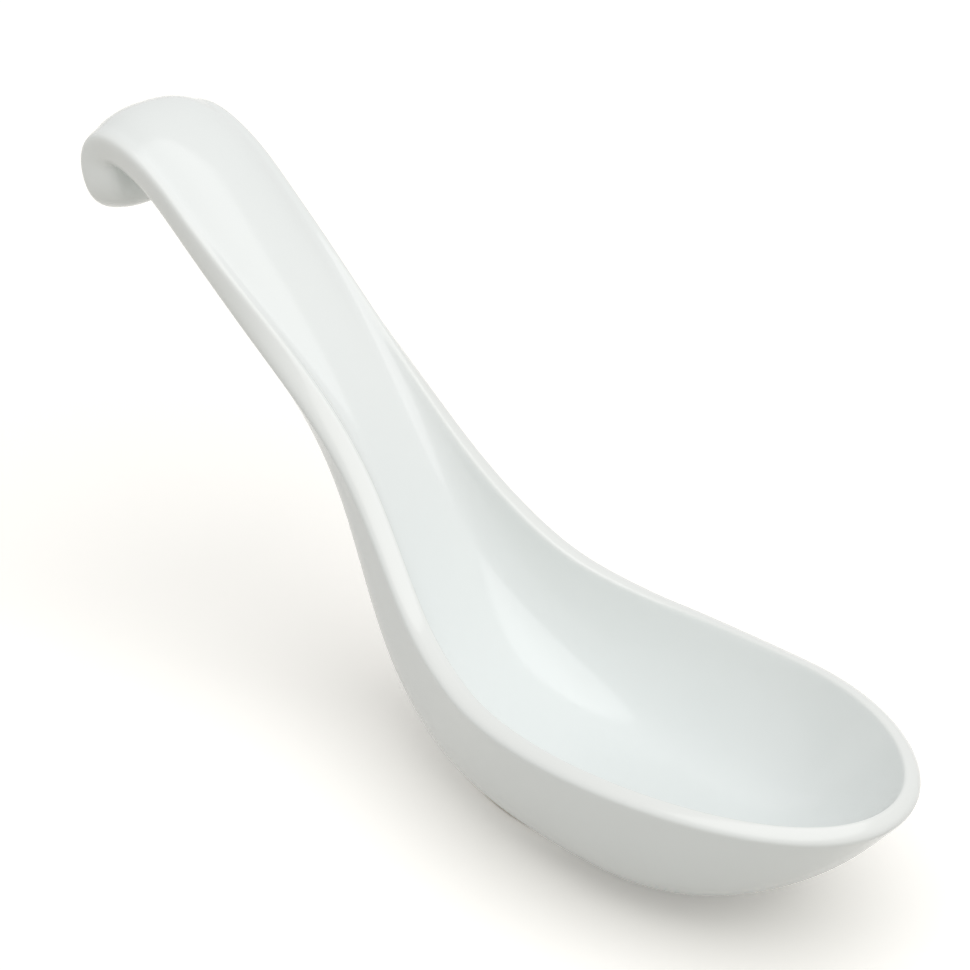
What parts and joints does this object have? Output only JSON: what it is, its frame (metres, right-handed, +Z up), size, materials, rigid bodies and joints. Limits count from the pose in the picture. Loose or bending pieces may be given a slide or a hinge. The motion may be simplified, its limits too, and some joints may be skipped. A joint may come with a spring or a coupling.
{
  "type": "chinese soup spoon",
  "caption": "White glazed porcelain soup spoon with a deep oval bowl on a foot ring and a rising handle that ends in a downturned hook.",
  "frame": {"origin": "centre of the foot ring, on the surface that the spoon stands on", "axes": "+X towards the tip of the bowl, +Z up, the handle rises towards -X, and the spoon is symmetrical about y = 0"},
  "size_m": [0.1399, 0.0426, 0.0624],
  "materials": {
    "porcelain": "bare fired porcelain, matt",
    "glaze": "clear gloss glaze"
  },
  "bodies": {
    "root": {"porcelain_body": "porcelain", "glaze_coat": "glaze", "foot_glaze": "glaze"}
  },
  "joints": []
}
